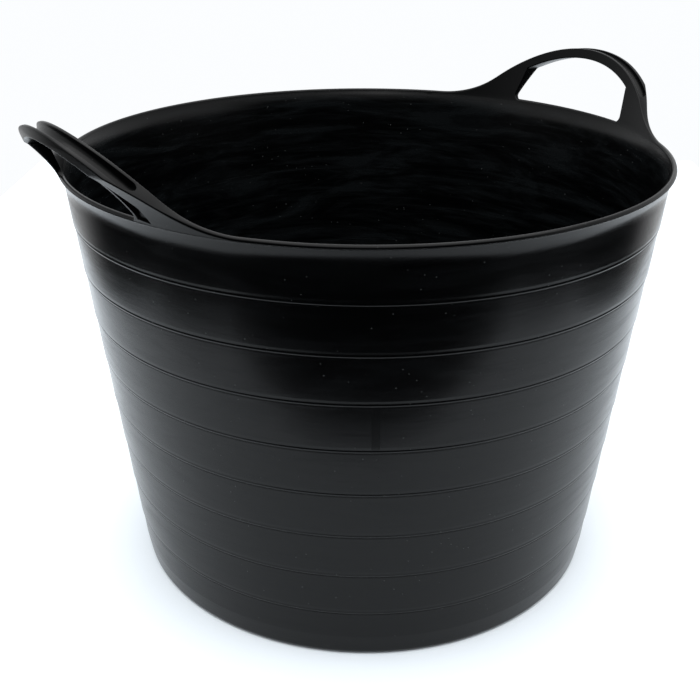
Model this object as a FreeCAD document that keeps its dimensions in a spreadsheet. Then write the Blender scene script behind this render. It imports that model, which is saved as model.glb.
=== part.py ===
import FreeCAD, Part
import os
import Sketcher

# Flexible mortar mixing tub with two integral loop handles, in millimetres.
# +Z is up, the origin is the middle of the base on the ground, and the handles lie along X.
# The tub is one plastic moulding. Its solids are the moulded features, cut where one feature
# gives way to the next: floor, heel, stepped wall, flared band, bead, handle feet, legs and grips.

STEP_LINES = 8
BEAD_LENGTHS = {"back": ("right", "middle", "left"), "front": ("left", "middle", "right")}
NAME_LIMIT = 60

SIZES = [
    ("rim_radius", 225.0, "outer radius of the bead round the mouth"),
    ("rim_height", 325.0, "top of the bead above the ground"),
    ("base_radius", 186.8, "outer radius of the wall's cone at ground level"),
    ("wall_thickness", 3.2, "wall thickness, measured level"),
    ("floor_thickness", 4.0, "thickness of the floor plate"),
    ("base_recess", 1.5, "height of the floor plate's underside above the ground"),
    ("heel_band", 21.8, "width of the heel ring at ground level"),
    ("heel_height", 18.0, "height of the heel ring"),
    ("heel_round", 10.0, "outer corner radius of the heel"),
    ("heel_hollow", 6.0, "inner corner radius between floor and wall"),
    ("lowest_step", 42.5, "height of the lowest step line"),
    ("top_band", 37.5, "height from the highest step line to the rim"),
    ("step_depth", 0.7, "overhang of each band over the one below it"),
    ("flare_height", 14.0, "height of the flare below the rim"),
    ("flare_reach", 4.2, "how far the flare turns the wall outwards"),
    ("bead_width", 3.8, "width of the half-round bead"),
    ("bead_lip", 0.6, "overhang of the bead over the flare"),
    ("handle_lean", 18.5, "outward lean of the handles, degrees from upright"),
    ("arch_rise", 48.5, "top of the handle above the rim"),
    ("arch_radius", 122.0, "radius of the handle's upper edge"),
    ("tail_radius", 65.0, "radius that runs the handle out into the rim"),
    ("grip_depth", 7.8, "depth of the grip, from its upper to its lower edge"),
    ("grip_width", 13.5, "width of the grip, across its two flanges"),
    ("inner_flange", 3.4, "thickness of the grip's inner flange"),
    ("outer_flange", 3.0, "thickness of the grip's outer flange"),
    ("channel_depth", 5.4, "depth of the channel along the top of the grip"),
    ("channel_reach", 74.0, "half length of the channel"),
    ("shoulder_height", 26.0, "height above the rim where the legs reach the full grip width"),
    ("opening_shoulder", 55.3, "half width of the hand opening below the grip"),
    ("opening_splay", 5.2, "how much wider the hand opening is each side at the rim"),
    ("foot_reach", 110.8, "half length of the handle, between the ends of its feet"),
    ("pocket_skin", 3.0, "thickness left behind the pocket in each leg"),
    ("pocket_rib", 3.2, "thickness of the rib between pocket and hand opening"),
    ("pocket_foot", 9.0, "width of the pocket at its foot"),
    ("pocket_tip", 1.6, "width of the pocket at its tip"),
    ("pocket_height", 22.0, "height of the pocket's tip above the rim"),
    ("flex_inset", 5.5, "distance of the flex axis inside the rim radius"),
    ("flex_height", 3.0, "height of the flex axis above the rim"),
    ("flex_radius", 11.3, "radius of the curved top of each foot about the flex axis"),
    ("flex_split", 6.8, "height above the flex axis where the moving arch's stock begins"),
    ("flex_gap", 0.3, "clearance between a foot and its leg"),
    ("leg_reach", 80.0, "half width of the moving arch, between its outer cuts"),
]

doc = FreeCAD.newDocument("mixing_tub")
sheet = doc.addObject("Spreadsheet::Sheet", "sizes")
for row, (alias, value, meaning) in enumerate(SIZES, start=1):
    sheet.set(f"A{row}", meaning)
    sheet.set(f"B{row}", str(value))
    sheet.setAlias(f"B{row}", alias)
doc.recompute()


def s(alias):
    """Name of a sheet size in an expression."""
    return f"sizes.{alias}"


# Derived sizes, as expressions on the sheet.
FLARE_FOOT = f"({s('rim_height')} - {s('flare_height')})"
FLARE_FOOT_RADIUS = f"({s('rim_radius')} - {s('flare_reach')})"
BAND_SLOPE = (
    f"(({FLARE_FOOT_RADIUS} - {s('base_radius')} - {STEP_LINES} * {s('step_depth')}) / {FLARE_FOOT})"
)
STEP_PITCH = (
    f"(({s('rim_height')} - {s('top_band')} - {s('lowest_step')}) / {STEP_LINES - 1})"
)
FLOOR_TOP = f"({s('base_recess')} + {s('floor_thickness')})"
FLOOR_RADIUS = f"({s('base_radius')} - {s('heel_band')})"
DECK = f"({s('rim_height')} - {s('bead_width')} / 2)"
DECK_INNER = f"({s('rim_radius')} - {s('bead_width')})"
HANDLE_TOP = f"({s('rim_height')} + {s('arch_rise')})"
SHOULDER = f"({s('rim_height')} + {s('shoulder_height')})"
LEAN = f"tan({s('handle_lean')})"
ARCH_CENTRE = f"({HANDLE_TOP} - {s('arch_radius')})"
TAIL_LIFT = f"({s('tail_radius')} + {s('arch_radius')} - {s('arch_rise')})"
TAIL_SPAN = f"({s('arch_radius')} + {s('tail_radius')})"
TAIL_CENTRE = f"sqrt({TAIL_SPAN} * {TAIL_SPAN} - {TAIL_LIFT} * {TAIL_LIFT})"
TAIL_JOIN = f"({ARCH_CENTRE} + {TAIL_LIFT} * {s('arch_radius')} / {TAIL_SPAN})"
OPENING_FOOT = f"({s('opening_shoulder')} + {s('opening_splay')})"
FOOT_END = f"(asin({s('foot_reach')} / {s('rim_radius')}) / (1 deg))"
REACH = f"(2 * {s('rim_radius')})"
MARGIN = 5.0


def step_line(index):
    """Height of step line 0 (lowest) to STEP_LINES - 1 (highest)."""
    return f"({s('lowest_step')} + {index} * {STEP_PITCH})"


def wall_radius(height, steps_below):
    """Outer radius of the wall at a height, above so many of its steps."""
    return f"({s('base_radius')} + {BAND_SLOPE} * {height} + {steps_below} * {s('step_depth')})"


def handle_inner(height, inset="0"):
    """Radius of the handle's leaning inner face at a height, moved outwards by inset."""
    return f"({DECK_INNER} + {LEAN} * ({height} - {DECK}) + {inset})"


def bind(item, **expressions):
    """Binds properties of a document object to expressions on the sheet."""
    for name, expression in expressions.items():
        item.setExpression(name, expression)
    return item


def place(item, x="0", y="0", z="0", turn=None, axis=FreeCAD.Vector(0, 0, 1)):
    """Binds an object's place, and its turn about an axis in degrees."""
    item.Placement = FreeCAD.Placement(FreeCAD.Vector(0, 0, 0), FreeCAD.Rotation(axis, 1.0))
    item.setExpression(".Placement.Base.x", x)
    item.setExpression(".Placement.Base.y", y)
    item.setExpression(".Placement.Base.z", z)
    item.setExpression(".Placement.Rotation.Angle", turn or "0")
    return item


def frustum(name, low, high, low_radius, high_radius, sweep=None):
    """Solid cone frustum on Z between two heights. A sweep in degrees makes a sector centred on +X."""
    cone = doc.addObject("Part::Cone", name)
    bind(cone, Height=f"({high}) - ({low})", Radius1=low_radius, Radius2=high_radius)
    if sweep:
        bind(cone, Angle=sweep)
    return place(cone, z=low, turn=f"-({sweep}) / 2" if sweep else None)


def disc_on_x(name, radius, y, z):
    """Cylinder along X, from inside the tub to well outside it."""
    disc = doc.addObject("Part::Cylinder", name)
    bind(disc, Radius=radius, Height=REACH)
    return place(disc, y=y, z=z, turn="90", axis=FreeCAD.Vector(0, 1, 0))


def block(name, x, y, z, length, width, height):
    """Box from its lowest corner."""
    box = doc.addObject("Part::Box", name)
    bind(box, Length=length, Width=width, Height=height)
    return place(box, x=x, y=y, z=z)


def wedge_on_x(name, low, high, low_span, high_span):
    """Prism along X whose section in YZ narrows from low_span at height low to high_span at height high."""
    wedge = doc.addObject("Part::Wedge", name)
    bind(wedge, Xmin=low_span[0], Xmax=low_span[1], X2min=high_span[0], X2max=high_span[1])
    bind(wedge, Ymin="0", Ymax=f"({high}) - ({low})", Zmin="0", Zmax=REACH, Z2min="0", Z2max=REACH)
    return place(wedge, z=low, turn="120", axis=FreeCAD.Vector(1, 1, 1))


def cut(name, base, tool):
    """Base with the tool's volume taken away."""
    result = doc.addObject("Part::Cut", name)
    result.Base = base
    result.Tool = tool
    return result


def fuse(name, parts):
    """Parts joined into one solid."""
    result = doc.addObject("Part::MultiFuse", name)
    result.Shapes = parts
    result.Refine = True
    return result


def common(name, parts):
    """Volume that all the parts share."""
    result = doc.addObject("Part::MultiCommon", name)
    result.Shapes = parts
    return result


def mirror(name, source, normal):
    """Mirror image of a solid in the plane through the origin with that normal."""
    result = doc.addObject("Part::Mirroring", name)
    result.Source = source
    result.Base = FreeCAD.Vector(0, 0, 0)
    result.Normal = normal
    return result


def origin_plane(body, role):
    """One of a body's own origin planes, by its role."""
    return next(plane for plane in body.Origin.OriginFeatures if plane.Role == role)


def sketch_in(body, name, role):
    """Empty sketch on one of a body's origin planes."""
    sketch = body.newObject("Sketcher::SketchObject", name)
    sketch.AttachmentSupport = (origin_plane(body, role), [""])
    sketch.MapMode = "FlatFace"
    return sketch


def closed_profile(sketch, corners):
    """Closed outline through corners given as pairs of expressions, both positive."""
    points = [
        FreeCAD.Vector(float(sheet.evalExpression(across)), float(sheet.evalExpression(up)), 0)
        for across, up in corners
    ]
    count = len(points)
    for index in range(count):
        sketch.addGeometry(Part.LineSegment(points[index], points[(index + 1) % count]), False)
    for index in range(count):
        sketch.addConstraint(
            Sketcher.Constraint("Coincident", index, 2, (index + 1) % count, 1)
        )
    for index, (across, up) in enumerate(corners):
        for kind, value, expression in (
            ("DistanceX", points[index].x, across),
            ("DistanceY", points[index].y, up),
        ):
            if value == 0:
                sketch.addConstraint(Sketcher.Constraint("PointOnObject", index, 1, -1))
                continue
            number = sketch.addConstraint(
                Sketcher.Constraint(kind, -1, 1, index, 1, value)
            )
            sketch.setExpression(f"Constraints[{number}]", expression)


def circle_edge(shape, height, radius):
    """Name of the circular edge that lies at a height and has a radius."""
    for number, edge in enumerate(shape.Edges, start=1):
        curve = edge.Curve
        if curve.TypeId == "Part::GeomCircle":
            if abs(curve.Radius - radius) < 0.01 and abs(curve.Center.z - height) < 0.01:
                return f"Edge{number}"
    raise RuntimeError(f"no circular edge of radius {radius} at height {height}")


def round_edge(body, base, name, height, radius, round_alias):
    """Fillet on one circular edge of a body, with its radius bound to the sheet."""
    doc.recompute()
    edge = circle_edge(
        base.Shape, float(sheet.evalExpression(height)), float(sheet.evalExpression(radius))
    )
    fillet = body.newObject("PartDesign::Fillet", name)
    fillet.Base = (base, [edge])
    fillet.Radius = sheet.get(round_alias)
    bind(fillet, Radius=s(round_alias))
    body.Tip = fillet
    return fillet


def make_floor():
    """Flat plate, held just off the ground by the heel ring round it."""
    body = doc.addObject("PartDesign::Body", "base_floor")
    sketch = sketch_in(body, "floor_outline", "XY_Plane")
    sketch.addGeometry(Part.Circle(FreeCAD.Vector(0, 0, 0), FreeCAD.Vector(0, 0, 1), 100.0), False)
    sketch.addConstraint(Sketcher.Constraint("Coincident", 0, 3, -1, 1))
    number = sketch.addConstraint(Sketcher.Constraint("Radius", 0, 100.0))
    sketch.setExpression(f"Constraints[{number}]", FLOOR_RADIUS)
    pad = body.newObject("PartDesign::Pad", "floor_plate")
    pad.Profile = sketch
    bind(pad, Length=s("floor_thickness"))
    body.Tip = pad
    return place(body, z=s("base_recess"))


def make_heel():
    """Ring that turns the floor up into the wall, rounded outside and inside."""
    body = doc.addObject("PartDesign::Body", "base_heel")
    sketch = sketch_in(body, "heel_section", "XZ_Plane")
    heel_top = s("heel_height")
    inner_foot = f"({wall_radius(FLOOR_TOP, 0)} - {s('wall_thickness')})"
    closed_profile(
        sketch,
        [
            (FLOOR_RADIUS, "0"),
            (s("base_radius"), "0"),
            (wall_radius(heel_top, 0), heel_top),
            (f"({wall_radius(heel_top, 0)} - {s('wall_thickness')})", heel_top),
            (inner_foot, FLOOR_TOP),
            (FLOOR_RADIUS, FLOOR_TOP),
        ],
    )
    ring = body.newObject("PartDesign::Revolution", "heel_ring")
    ring.Profile = sketch
    ring.ReferenceAxis = (sketch, ["V_Axis"])
    ring.Angle = 360.0
    body.Tip = ring
    outer = round_edge(body, ring, "heel_corner", "0", s("base_radius"), "heel_round")
    round_edge(body, outer, "heel_fillet", FLOOR_TOP, inner_foot, "heel_hollow")
    return body


def ring_of_bands(name, levels):
    """Thin tapered rings stacked on each other, from (low, high, low radius, high radius) of each."""
    outer = []
    inner = []
    for index, (low, high, low_radius, high_radius) in enumerate(levels):
        wall = s("wall_thickness")
        outer.append(frustum(f"{name}_outer_{index}", low, high, low_radius, high_radius))
        inner.append(
            frustum(
                f"{name}_inner_{index}",
                low,
                high,
                f"{low_radius} - {wall}",
                f"{high_radius} - {wall}",
            )
        )
    return cut(name, fuse(f"{name}_outside", outer), fuse(f"{name}_inside", inner))


def make_wall():
    """Tapered wall in eight bands, each standing out a little over the one below it."""
    heights = [s("heel_height")] + [step_line(index) for index in range(STEP_LINES)]
    levels = [
        (low, high, wall_radius(low, steps), wall_radius(high, steps))
        for steps, (low, high) in enumerate(zip(heights, heights[1:]))
    ]
    return ring_of_bands("stepped_wall", levels)


def make_flared_band():
    """Top band of the wall, which turns outwards to the flat deck that carries bead and handles."""
    low = step_line(STEP_LINES - 1)
    deck_outer = f"({s('rim_radius')} - {s('bead_lip')})"
    return ring_of_bands(
        "flared_band",
        [
            (low, FLARE_FOOT, wall_radius(low, STEP_LINES), FLARE_FOOT_RADIUS),
            (FLARE_FOOT, DECK, FLARE_FOOT_RADIUS, deck_outer),
        ],
    )


def whole_bead():
    """Half-round bead on the deck, all the way round."""
    roll = doc.addObject("Part::Torus", "bead_roll")
    bead_radius = f"{s('bead_width')} / 2"
    bind(roll, Radius1=f"{s('rim_radius')} - {bead_radius}", Radius2=bead_radius)
    place(roll, z=DECK)
    corner = f"-{s('rim_radius')} - {MARGIN}"
    side = f"2 * {s('rim_radius')} + {2 * MARGIN}"
    above = block("bead_above_deck", corner, corner, DECK, side, side, s("bead_width"))
    return common("bead_whole", [roll, above])


def make_beads():
    """Bead in three lengths at front and back, and one across the foot of the right hand opening."""
    bead = whole_bead()
    sweep = f"((180 - 2 * {FOOT_END}) / {len(BEAD_LENGTHS['back'])})"
    for side, start in (("back", FOOT_END), ("front", f"180 + {FOOT_END}")):
        for index, length in enumerate(BEAD_LENGTHS[side]):
            sector = doc.addObject("Part::Cylinder", f"bead_sector_{side}_{length}")
            bind(sector, Radius=REACH, Height=REACH, Angle=sweep)
            place(sector, turn=f"{start} + {index} * {sweep}")
            common(f"rim_bead_{side}_{length}", [bead, sector])
    common("rim_bead_right", [bead, doc.getObject("opening_sides")])


def handle_shell():
    """Leaning shell that the right handle is cut from: it widens from the deck to the grip's width."""
    sweep = f"2 * {FOOT_END}"
    top = f"({HANDLE_TOP} + {MARGIN})"
    width = s("grip_width")
    lower = frustum("shell_lower", DECK, SHOULDER, s("rim_radius"), handle_inner(SHOULDER, width), sweep)
    upper = frustum(
        "shell_upper", SHOULDER, top, handle_inner(SHOULDER, width), handle_inner(top, width), sweep
    )
    below = f"({DECK} - {MARGIN})"
    above = f"({top} + {MARGIN})"
    inside = frustum("shell_inside", below, above, handle_inner(below), handle_inner(above))
    return cut("handle_shell", fuse("shell_outside", [lower, upper]), inside)


def arch_outline():
    """The handle's outline seen along X: one large arc, run out into the rim by a hollow arc each side."""
    arch = disc_on_x("arch_disc", s("arch_radius"), "0", ARCH_CENTRE)
    skirt = block(
        "arch_skirt", "0", f"-{TAIL_CENTRE}", DECK, REACH, f"2 * {TAIL_CENTRE}", f"{TAIL_JOIN} - {DECK}"
    )
    tail_height = f"({s('rim_height')} + {s('tail_radius')})"
    for side, sign in (("front", "-"), ("back", "")):
        tail = disc_on_x(f"tail_{side}", s("tail_radius"), f"{sign}{TAIL_CENTRE}", tail_height)
        skirt = cut(f"arch_skirt_{side}", skirt, tail)
    return fuse("arch_outline", [arch, skirt])


def hand_opening():
    """Hand opening seen along X: leaning sides under the lower edge of the grip."""
    low = f"({DECK} - {MARGIN})"
    shoulder = (
        f"(sqrt(pow({s('arch_radius')} - {s('grip_depth')}; 2) - pow({s('opening_shoulder')}; 2))"
        f" + {s('arch_rise')} - {s('arch_radius')})"
    )
    narrowing = f"({s('opening_splay')} / {shoulder})"
    low_half = f"({OPENING_FOOT} + {narrowing} * ({s('rim_height')} - {low}))"
    high_half = f"({OPENING_FOOT} - {narrowing} * {s('arch_rise')})"
    sides = wedge_on_x(
        "opening_sides", low, HANDLE_TOP, (f"-{low_half}", low_half), (f"-{high_half}", high_half)
    )
    lower_edge = disc_on_x(
        "grip_lower_edge", f"{s('arch_radius')} - {s('grip_depth')}", "0", ARCH_CENTRE
    )
    return common("hand_opening", [sides, lower_edge])


def grip_channel():
    """Channel along the top of the grip, open upwards, which ends inside each leg."""
    low = f"({DECK} - {MARGIN})"
    high = f"({HANDLE_TOP} + {MARGIN})"
    near = s("inner_flange")
    far = f"{s('grip_width')} - {s('outer_flange')}"
    outer = frustum("channel_outer", low, high, handle_inner(low, far), handle_inner(high, far))
    inner = frustum("channel_inner", low, high, handle_inner(low, near), handle_inner(high, near))
    gap = cut("channel_gap", outer, inner)
    length = block(
        "channel_length", "0", f"-{s('channel_reach')}", low, REACH, f"2 * {s('channel_reach')}",
        f"{high} - {low}",
    )
    floor_disc = disc_on_x(
        "channel_floor", f"{s('arch_radius')} - {s('channel_depth')}", "0", ARCH_CENTRE
    )
    return cut("grip_channel", common("channel_slot", [gap, length]), floor_disc)


def leg_pocket(side, sign):
    """Three-cornered pocket in the outside of a leg, beside the rib along the hand opening."""
    tip = f"({s('rim_height')} + {s('pocket_height')})"
    low = s("rim_height")
    foot_near = f"({OPENING_FOOT} + {s('pocket_rib')})"
    tip_near = f"({s('opening_shoulder')} + {s('pocket_rib')} + {s('pocket_tip')} / 2)"
    foot_span = (foot_near, f"({foot_near} + {s('pocket_foot')})")
    tip_span = (tip_near, f"({tip_near} + {s('pocket_tip')})")
    if sign < 0:
        foot_span = (f"-{foot_span[1]}", f"-{foot_span[0]}")
        tip_span = (f"-{tip_span[1]}", f"-{tip_span[0]}")
    prism = wedge_on_x(f"pocket_prism_{side}", low, tip, foot_span, tip_span)
    top = f"({tip} + {MARGIN})"
    under = f"({low} - {MARGIN})"
    skin = frustum(
        f"pocket_back_{side}",
        under,
        top,
        handle_inner(under, s("pocket_skin")),
        handle_inner(top, s("pocket_skin")),
    )
    return cut(f"leg_pocket_{side}", prism, skin)


def make_handle():
    """Right handle: its feet belong to the tub, and its legs and grip flex about a level axis along Y."""
    blank = common("handle_blank", [handle_shell(), arch_outline()])
    blank = cut("handle_opened", blank, hand_opening())
    blank = cut("handle_channelled", blank, grip_channel())
    for side, sign in (("front", -1), ("back", 1)):
        blank = cut(f"handle_pocket_{side}", blank, leg_pocket(side, sign))

    axis_x = f"({s('rim_radius')} - {s('flex_inset')})"
    axis_z = f"({s('rim_height')} + {s('flex_height')})"
    reach = s("leg_reach")
    gap = s("flex_gap")

    def knuckle(name, radius):
        """Cylinder about the flex axis, along the whole handle."""
        roll = doc.addObject("Part::Cylinder", name)
        bind(roll, Radius=radius, Height=REACH)
        return place(
            roll, x=axis_x, y=s("rim_radius"), z=axis_z, turn="90", axis=FreeCAD.Vector(1, 0, 0)
        )

    split = f"({axis_z} + {s('flex_split')})"
    tall = f"({s('arch_rise')} + {MARGIN})"
    foot_round = knuckle("foot_round", s("flex_radius"))
    foot_slab = block(
        "foot_slab", "0", f"-{s('rim_radius')}", DECK, REACH, f"2 * {s('rim_radius')}",
        f"{split} - {DECK}",
    )
    for side, sign in (("front", -1), ("back", 1)):
        low_y = f"({reach} + {gap})" if sign > 0 else f"-({s('rim_radius')})"
        tail = block(
            f"foot_tail_{side}", "0", low_y, DECK, REACH, f"{s('rim_radius')} - ({reach} + {gap})", tall
        )
        half = block(
            f"handle_half_{side}", "0", "0" if sign > 0 else f"-{s('rim_radius')}", DECK, REACH,
            s("rim_radius"), tall,
        )
        region = fuse(f"foot_region_{side}", [foot_round, foot_slab, tail])
        common(f"foot_right_{side}", [blank, region, half])

    moving_block = block(
        "moving_block", "0", f"-{reach}", split, REACH, f"2 * {reach}", f"{HANDLE_TOP} + {MARGIN} - {split}"
    )
    knuckle_gap = knuckle("knuckle_gap", f"{s('flex_radius')} + {gap}")
    moving_region = cut("moving_region", moving_block, knuckle_gap)
    arch = common("moving_arch", [blank, moving_region])
    shoulder = s("opening_shoulder")
    middle = block(
        "grip_span", "0", f"-{shoulder}", DECK, REACH, f"2 * {shoulder}", f"{HANDLE_TOP} - {DECK} + {MARGIN}"
    )
    common("grip_right", [arch, middle])
    for side, low_y in (("front", f"-{s('rim_radius')}"), ("back", shoulder)):
        end = block(
            f"leg_span_{side}", "0", low_y, DECK, REACH, f"{s('rim_radius')} - {shoulder}",
            f"{HANDLE_TOP} - {DECK} + {MARGIN}",
        )
        common(f"leg_right_{side}", [arch, end])


def mirror_handle():
    """Left handle and the bead under it, mirror images of the right ones."""
    across = FreeCAD.Vector(1, 0, 0)
    pieces = ("foot_{}_front", "foot_{}_back", "leg_{}_front", "leg_{}_back", "grip_{}", "rim_bead_{}")
    for piece in pieces:
        mirror(piece.format("left"), doc.getObject(piece.format("right")), across)


NODES = ["base_floor", "base_heel", "stepped_wall", "flared_band"]
NODES += [f"rim_bead_{side}_{length}" for side in BEAD_LENGTHS for length in BEAD_LENGTHS[side]]
NODES += ["rim_bead_left", "rim_bead_right"]
for handle in ("left", "right"):
    NODES += [f"{part}_{handle}_{end}" for part in ("foot", "leg") for end in ("front", "back")]
    NODES.append(f"grip_{handle}")


def check_document():
    """Stops with the name of anything that failed, before a file is written."""
    for item in doc.Objects:
        if "Invalid" in item.State or "Error" in item.State:
            raise RuntimeError(f"{item.Name} failed: {item.State}")
    for name in NODES:
        shape = doc.getObject(name).Shape
        if shape.isNull() or not shape.isValid():
            raise RuntimeError(f"{name} has no valid shape")
        if len(shape.Solids) != 1:
            raise RuntimeError(f"{name} has {len(shape.Solids)} solids")
        if shape.Volume <= 0 or len(name) >= NAME_LIMIT:
            raise RuntimeError(f"{name} has no volume, or too long a name")


def export_nodes():
    """Writes each sub-part to its own file and prints its size."""
    os.makedirs("parts", exist_ok=True)
    for name in NODES:
        item = doc.getObject(name)
        item.Label = name
        item.Shape.exportStep(f"parts/{name}.step")
        box = item.Shape.BoundBox
        print(
            f"{name}: {item.Shape.Volume / 1000:.2f} cm3,"
            f" x {box.XMin:.1f} to {box.XMax:.1f},"
            f" y {box.YMin:.1f} to {box.YMax:.1f},"
            f" z {box.ZMin:.1f} to {box.ZMax:.1f}"
        )


make_floor()
make_heel()
make_wall()
make_flared_band()
make_handle()
make_beads()
mirror_handle()
doc.recompute()
check_document()
export_nodes()
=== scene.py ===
import math
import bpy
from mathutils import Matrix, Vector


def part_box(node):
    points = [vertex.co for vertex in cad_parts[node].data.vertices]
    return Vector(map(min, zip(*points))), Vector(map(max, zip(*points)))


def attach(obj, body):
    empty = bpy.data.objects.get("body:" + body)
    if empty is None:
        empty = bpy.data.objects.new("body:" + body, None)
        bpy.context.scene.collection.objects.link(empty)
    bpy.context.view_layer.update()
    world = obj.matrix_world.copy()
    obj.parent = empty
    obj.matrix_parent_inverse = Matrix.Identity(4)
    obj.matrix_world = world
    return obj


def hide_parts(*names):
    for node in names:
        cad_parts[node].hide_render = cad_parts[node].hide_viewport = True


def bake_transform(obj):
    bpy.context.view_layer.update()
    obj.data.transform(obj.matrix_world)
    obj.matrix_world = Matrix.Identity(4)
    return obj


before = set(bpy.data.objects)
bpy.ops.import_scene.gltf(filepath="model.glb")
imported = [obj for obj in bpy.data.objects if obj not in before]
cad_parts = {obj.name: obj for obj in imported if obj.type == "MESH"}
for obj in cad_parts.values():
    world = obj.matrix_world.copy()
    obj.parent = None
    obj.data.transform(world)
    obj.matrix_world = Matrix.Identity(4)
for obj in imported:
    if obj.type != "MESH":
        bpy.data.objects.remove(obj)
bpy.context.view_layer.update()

from types import SimpleNamespace

import bmesh
import bpy
import numpy as np
from bpy.props import FloatProperty, FloatVectorProperty, IntProperty, PointerProperty
from mathutils import Matrix, Vector

bl_info = {
    "name": "Mortar Mixing Tub",
    "version": (1, 0, 0),
    "blender": (4, 5, 0),
    "location": "3D View > Sidebar > Mixing Tub",
    "description": "Flexible builder's tub with a stepped wall, a flared rim and two loop handles",
    "category": "Add Mesh",
}

MM = 0.001


def low_of(node, axis):
    """Lowest coordinate of a node of the frame along an axis, 0 to 2."""
    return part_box(node)[0][axis]


def high_of(node, axis):
    """Highest coordinate of a node of the frame along an axis, 0 to 2."""
    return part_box(node)[1][axis]


# Places that the frame fixes. The band's seam lies a little below the border between the two solids.
RIM_RADIUS = -low_of("rim_bead_front_middle", 1)
RIM_HEIGHT = high_of("rim_bead_front_middle", 2)
DECK_HEIGHT = high_of("flared_band", 2)
DECK_RADIUS = high_of("flared_band", 1)
SEAM_DROP = 1.7 * MM
BAND_FOOT = high_of("stepped_wall", 2) - SEAM_DROP
WALL_TOP_RADIUS = high_of("stepped_wall", 0)
HEEL_HEIGHT = high_of("base_heel", 2)
HEEL_TOP_RADIUS = high_of("base_heel", 0)
FLOOR_RADIUS = high_of("base_floor", 0)
FLOOR_LOW = low_of("base_floor", 2)
FLOOR_HIGH = high_of("base_floor", 2)
HANDLE_RISE = high_of("grip_right", 2) - RIM_HEIGHT
GRIP_HALF = high_of("grip_right", 1)


class TubSizes(bpy.types.PropertyGroup):
    """Sizes of the moulding that a user would change."""

    wall_thickness: FloatProperty(
        name="Wall thickness", description="Thickness of the wall, measured level",
        default=3.2 * MM, unit="LENGTH",
    )
    step_depth: FloatProperty(
        name="Step depth", description="How far each band of the wall stands out over the one below",
        default=0.7 * MM, unit="LENGTH",
    )
    step_round: FloatProperty(
        name="Step rounding", description="Height over which the lower edge of each band is rounded",
        default=1.2 * MM, unit="LENGTH",
    )
    step_pitch: FloatProperty(
        name="Step pitch", description="Height from one step line to the next",
        default=35.0 * MM, unit="LENGTH",
    )
    flare_height: FloatProperty(
        name="Flare height", description="Height of the outward flare below the rim",
        default=14.0 * MM, unit="LENGTH",
    )
    heel_round: FloatProperty(
        name="Heel rounding", description="Outer corner radius at the foot of the wall",
        default=5.0 * MM, unit="LENGTH",
    )
    heel_hollow: FloatProperty(
        name="Heel hollow", description="Inner corner radius between floor and wall",
        default=6.0 * MM, unit="LENGTH",
    )
    handle_lean: FloatProperty(
        name="Handle lean", description="Outward lean of the handles from upright",
        default=math.radians(18.5), subtype="ANGLE",
    )
    arch_radius: FloatProperty(
        name="Arch radius", description="Radius of the handle's upper edge",
        default=122.0 * MM, unit="LENGTH",
    )
    tail_radius: FloatProperty(
        name="Tail radius", description="Radius that runs the handle out into the rim",
        default=65.0 * MM, unit="LENGTH",
    )
    grip_depth: FloatProperty(
        name="Grip depth", description="Depth of the grip from its upper to its lower edge",
        default=7.8 * MM, unit="LENGTH",
    )
    grip_width: FloatProperty(
        name="Grip width", description="Width across the grip's two flanges",
        default=13.4 * MM, unit="LENGTH",
    )
    inner_flange: FloatProperty(
        name="Inner flange", description="Thickness of the grip's inner flange",
        default=2.4 * MM, unit="LENGTH",
    )
    outer_flange: FloatProperty(
        name="Outer flange", description="Thickness of the grip's outer flange",
        default=1.8 * MM, unit="LENGTH",
    )
    channel_depth: FloatProperty(
        name="Channel depth", description="Depth of the channel along the top of the grip",
        default=5.4 * MM, unit="LENGTH",
    )
    channel_reach: FloatProperty(
        name="Channel reach", description="Half length of the channel",
        default=75.0 * MM, unit="LENGTH",
    )
    opening_splay: FloatProperty(
        name="Opening splay", description="How much wider the hand opening is each side at the rim",
        default=5.2 * MM, unit="LENGTH",
    )
    opening_corner: FloatProperty(
        name="Opening corner", description="Radius of the hand opening's lower corners",
        default=4.0 * MM, unit="LENGTH",
    )
    shoulder: FloatProperty(
        name="Shoulder", description="Height above the rim where the hand opening's sides meet the grip",
        default=26.0 * MM, unit="LENGTH",
    )
    ring_columns: IntProperty(
        name="Ring columns", description="Number of columns round the wall", default=240, min=48,
    )


class TubPlastic(bpy.types.PropertyGroup):
    """Colours and finish of the moulding and of the stage."""

    deep: FloatVectorProperty(
        name="Deep colour", description="Colour of the plastic between its flow marks",
        subtype="COLOR", size=3, default=(0.0002, 0.0003, 0.0004), min=0.0, max=1.0,
    )
    flow: FloatVectorProperty(
        name="Flow colour", description="Colour of the plastic's flow marks",
        subtype="COLOR", size=3, default=(0.0034, 0.0042, 0.0047), min=0.0, max=1.0,
    )
    dust: FloatVectorProperty(
        name="Dust colour", description="Colour of dust specks and rubbed marks",
        subtype="COLOR", size=3, default=(0.16, 0.17, 0.17), min=0.0, max=1.0,
    )
    gloss: FloatProperty(
        name="Roughness", description="Roughness of the clean surface", default=0.2, min=0.0, max=1.0,
    )
    floor: FloatVectorProperty(
        name="Floor colour", description="Colour of the floor",
        subtype="COLOR", size=3, default=(0.88, 0.94, 0.99), min=0.0, max=1.0,
    )


def sizes():
    """The sizes of the tub in this scene."""
    return bpy.context.scene.tub_sizes


def plastic():
    """The colours and finish of the tub in this scene."""
    return bpy.context.scene.tub_plastic


# Arithmetic.


def lerp(first, second, t):
    """Value between two values, which are numbers, arrays or shader values."""
    return first + (second - first) * t


def smooth(value, start, end):
    """0 before start, 1 after end, and 3t^2 - 2t^3 between."""
    t = np.clip((value - start) / (end - start), 0.0, 1.0)
    return t * t * (3.0 - 2.0 * t)


def arc(centre, radius, start, end, count):
    """Points of a circular arc in the (r, z) plane, from one angle to another in degrees."""
    angle = np.radians(np.linspace(start, end, count))
    return np.stack([centre[0] + radius * np.cos(angle), centre[1] + radius * np.sin(angle)], axis=1)


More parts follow.
